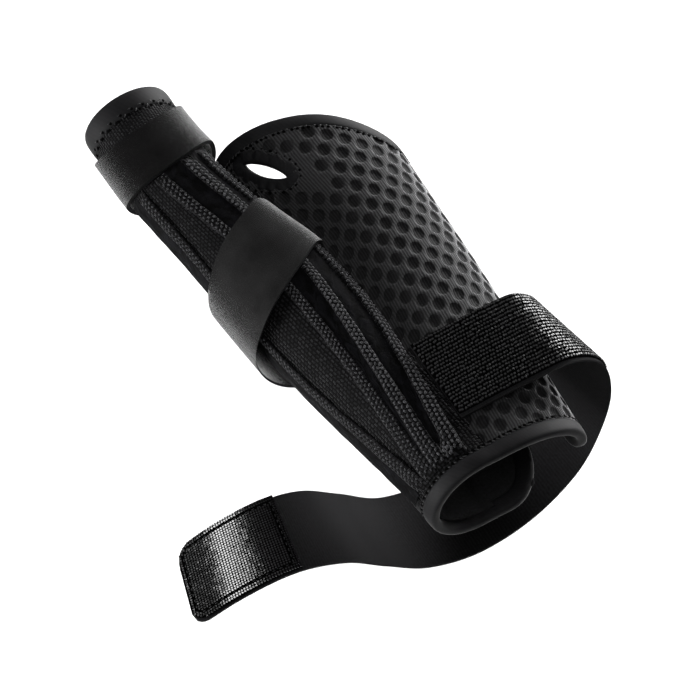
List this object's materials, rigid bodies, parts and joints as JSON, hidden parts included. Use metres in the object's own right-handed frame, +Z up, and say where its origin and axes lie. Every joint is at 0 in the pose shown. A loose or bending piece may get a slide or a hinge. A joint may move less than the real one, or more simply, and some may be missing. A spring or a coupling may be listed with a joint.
{
  "type": "thumb splint",
  "caption": "Padded mesh thumb splint for a right hand, with a thumb tube, ribbed stays, loop bands round the thumb and an open wrist strap that ends in a hook tab.",
  "frame": {"origin": "middle of the wrist hollow, level with the forearm edge of the sleeve, where the wrist holds the splint up", "axes": "+Y along the arm from the forearm towards the fingers, +Z up out of the back of the hand, the thumb at -X and the little-finger side at +X"},
  "size_m": [0.1505, 0.1794, 0.0904],
  "materials": {
    "thumb_mesh": "fine black warp-knit air mesh, matt with a faint sheen on the ridges",
    "hand_mesh": "black spacer mesh with a honeycomb of round openings, matt",
    "binding": "black stretch binding, smooth and satin, with a row of stitches",
    "tape": "smooth black tape, matt",
    "loop_strap": "brushed black loop fabric, very soft and matt",
    "hook": "black moulded hook tape, rows of small glossy hooks"
  },
  "bodies": {
    "root": {"thumb_panel": "thumb_mesh", "hand_panel": "hand_mesh", "wrist_binding": "binding", "thumb_tip_binding": "binding", "finger_edge_binding": "binding", "web_hole_binding": "binding", "stay_rib1": "thumb_mesh", "stay_rib2": "thumb_mesh", "stay_rib3": "thumb_mesh", "stay_rib4": "thumb_mesh", "stay_tape1": "tape", "stay_tape2": "tape", "stay_tape3": "tape", "thumb_tip_strap": "loop_strap", "thumb_base_strap": "loop_strap", "wrist_strap": "loop_strap", "hook_patch": "hook", "hook_tab": "hook"}
  },
  "joints": []
}
